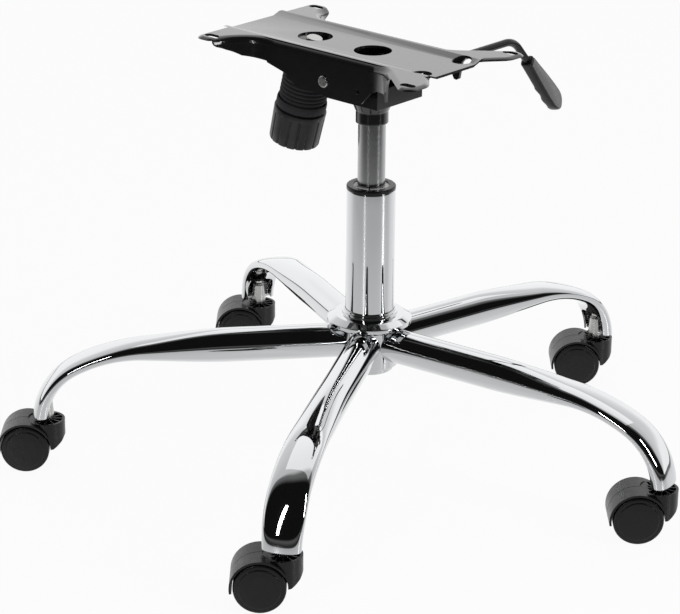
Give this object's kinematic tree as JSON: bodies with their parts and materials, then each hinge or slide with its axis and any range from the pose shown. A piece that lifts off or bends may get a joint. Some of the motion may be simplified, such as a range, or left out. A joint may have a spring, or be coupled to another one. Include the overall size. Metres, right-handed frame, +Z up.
{
  "type": "office chair base with tilt mechanism",
  "caption": "Chromed office chair star base on twin wheel casters, with gas lift, tilting seat plate, tension knob and height lever.",
  "frame": {"origin": "on the floor under the column's axis", "axes": "+Z up along the column, -X to the front of the seat, +Y to the sitter's right where the lever is"},
  "size_m": [0.6986, 0.6945, 0.4446],
  "materials": {
    "bright_chrome": "mirror",
    "plain_steel": "satin",
    "grey_steel": "satin",
    "black_coat": "gloss",
    "black_nylon": "satin",
    "pale_acetal": "satin",
    "black_rubber": "matte"
  },
  "bodies": {
    "base": {"hub_tube": "bright_chrome", "hub_collar": "bright_chrome", "column_tube": "bright_chrome", "column_cap": "black_nylon", "guide_sleeve": "pale_acetal", "thrust_bearing": "plain_steel", "leg_1": "bright_chrome", "stem_socket_1": "plain_steel", "caster_stem_1": "plain_steel", "leg_2": "bright_chrome", "stem_socket_2": "plain_steel", "caster_stem_2": "plain_steel", "leg_3": "bright_chrome", "stem_socket_3": "plain_steel", "caster_stem_3": "plain_steel", "leg_4": "bright_chrome", "stem_socket_4": "plain_steel", "caster_stem_4": "plain_steel", "leg_5": "bright_chrome", "stem_socket_5": "plain_steel", "caster_stem_5": "plain_steel"},
    "swivel_rod": {"piston_rod": "plain_steel", "retaining_clip": "plain_steel", "rubber_bumper": "black_rubber"},
    "lift": {"gas_cylinder": "grey_steel", "taper_socket": "black_coat", "lower_bracket": "black_coat", "tension_spring": "plain_steel", "spring_boot": "black_rubber"},
    "seat": {"seat_plate": "black_coat", "pivot_pin": "plain_steel", "pivot_bushes": "pale_acetal", "tension_bolt": "plain_steel"},
    "tension_carriage": {"thrust_washer": "plain_steel"},
    "tension_screw": {"tension_knob": "black_nylon"},
    "height_lever": {"lever_rod": "black_coat", "lever_handle": "black_nylon"},
    "valve": {"valve_button": "plain_steel"},
    "caster_1": {"caster_hood_1": "black_nylon", "caster_axle_1": "plain_steel"},
    "left_roller_1": {"wheel_left_1": "black_nylon"},
    "right_roller_1": {"wheel_right_1": "black_nylon"},
    "caster_2": {"caster_hood_2": "black_nylon", "caster_axle_2": "plain_steel"},
    "left_roller_2": {"wheel_left_2": "black_nylon"},
    "right_roller_2": {"wheel_right_2": "black_nylon"},
    "caster_3": {"caster_hood_3": "black_nylon", "caster_axle_3": "plain_steel"},
    "left_roller_3": {"wheel_left_3": "black_nylon"},
    "right_roller_3": {"wheel_right_3": "black_nylon"},
    "caster_4": {"caster_hood_4": "black_nylon", "caster_axle_4": "plain_steel"},
    "left_roller_4": {"wheel_left_4": "black_nylon"},
    "right_roller_4": {"wheel_right_4": "black_nylon"},
    "caster_5": {"caster_hood_5": "black_nylon", "caster_axle_5": "plain_steel"},
    "left_roller_5": {"wheel_left_5": "black_nylon"},
    "right_roller_5": {"wheel_right_5": "black_nylon"}
  },
  "joints": [
    {"name": "seat_swivel", "type": "hinge", "parent": "base", "child": "swivel_rod", "pos_m": [0, 0, 0.1], "axis": [0, 0, 1], "continuous": true},
    {"name": "seat_height", "type": "slide", "parent": "swivel_rod", "child": "lift", "axis": [0, 0, 1], "range_m": [-0.058, 0.042]},
    {"name": "seat_tilt", "type": "hinge", "parent": "lift", "child": "seat", "pos_m": [-0.023, 0, 0.415], "axis": [0, 1, 0], "range_deg": [0, 16], "stiffness_Nm_per_rad": 60, "springref_deg": -5.73, "deforming": ["tension_spring", "spring_boot"]},
    {"name": "tension_travel", "type": "slide", "parent": "seat", "child": "tension_carriage", "axis": [0.2453, 0, 0.9694], "range_m": [0, 0.006], "deforming": ["tension_spring", "spring_boot"]},
    {"name": "tension_turn", "type": "hinge", "parent": "tension_carriage", "child": "tension_screw", "pos_m": [-0.09958, 0, 0.35155], "axis": [0.2453, 0, 0.9694], "range_deg": [0, 1450]},
    {"name": "lever_lift", "type": "hinge", "parent": "lift", "child": "height_lever", "pos_m": [0.02, 0.03275, 0.415], "axis": [1, 0, 0], "range_deg": [0, 8.5], "stiffness_Nm_per_rad": 1},
    {"name": "valve_press", "type": "slide", "parent": "lift", "child": "valve", "axis": [0, 0, -1], "range_m": [0, 0.005]},
    {"name": "caster_swivel_1", "type": "hinge", "parent": "base", "child": "caster_1", "pos_m": [0.32942, 0.05513, 0.05], "axis": [0, 0, 1], "continuous": true},
    {"name": "left_wheel_roll_1", "type": "hinge", "parent": "caster_1", "child": "left_roller_1", "pos_m": [0.31369, 0.04121, 0.025], "axis": [0.6626, -0.749, 0], "continuous": true},
    {"name": "right_wheel_roll_1", "type": "hinge", "parent": "caster_1", "child": "right_roller_1", "pos_m": [0.31369, 0.04121, 0.025], "axis": [0.6626, -0.749, 0], "continuous": true},
    {"name": "caster_swivel_2", "type": "hinge", "parent": "base", "child": "caster_2", "pos_m": [0.04937, 0.33033, 0.05], "axis": [0, 0, 1], "continuous": true},
    {"name": "left_wheel_roll_2", "type": "hinge", "parent": "caster_2", "child": "left_roller_2", "pos_m": [0.03364, 0.31642, 0.025], "axis": [0.6626, -0.749, 0], "continuous": true},
    {"name": "right_wheel_roll_2", "type": "hinge", "parent": "caster_2", "child": "right_roller_2", "pos_m": [0.03364, 0.31642, 0.025], "axis": [0.6626, -0.749, 0], "continuous": true},
    {"name": "caster_swivel_3", "type": "hinge", "parent": "base", "child": "caster_3", "pos_m": [-0.29891, 0.14903, 0.05], "axis": [0, 0, 1], "continuous": true},
    {"name": "left_wheel_roll_3", "type": "hinge", "parent": "caster_3", "child": "left_roller_3", "pos_m": [-0.31464, 0.13512, 0.025], "axis": [0.6626, -0.749, 0], "continuous": true},
    {"name": "right_wheel_roll_3", "type": "hinge", "parent": "caster_3", "child": "right_roller_3", "pos_m": [-0.31464, 0.13512, 0.025], "axis": [0.6626, -0.749, 0], "continuous": true},
    {"name": "caster_swivel_4", "type": "hinge", "parent": "base", "child": "caster_4", "pos_m": [-0.2341, -0.23823, 0.05], "axis": [0, 0, 1], "continuous": true},
    {"name": "left_wheel_roll_4", "type": "hinge", "parent": "caster_4", "child": "left_roller_4", "pos_m": [-0.24983, -0.25214, 0.025], "axis": [0.6626, -0.749, 0], "continuous": true},
    {"name": "right_wheel_roll_4", "type": "hinge", "parent": "caster_4", "child": "right_roller_4", "pos_m": [-0.24983, -0.25214, 0.025], "axis": [0.6626, -0.749, 0], "continuous": true},
    {"name": "caster_swivel_5", "type": "hinge", "parent": "base", "child": "caster_5", "pos_m": [0.15422, -0.29626, 0.05], "axis": [0, 0, 1], "continuous": true},
    {"name": "left_wheel_roll_5", "type": "hinge", "parent": "caster_5", "child": "left_roller_5", "pos_m": [0.1385, -0.31018, 0.025], "axis": [0.6626, -0.749, 0], "continuous": true},
    {"name": "right_wheel_roll_5", "type": "hinge", "parent": "caster_5", "child": "right_roller_5", "pos_m": [0.1385, -0.31018, 0.025], "axis": [0.6626, -0.749, 0], "continuous": true}
  ],
  "couplings": [
    {"joint": "tension_turn", "follows": "tension_travel", "rad_per_m": 4188.8},
    {"joint": "valve_press", "follows": "lever_lift", "m_per_rad": 0.03275}
  ]
}
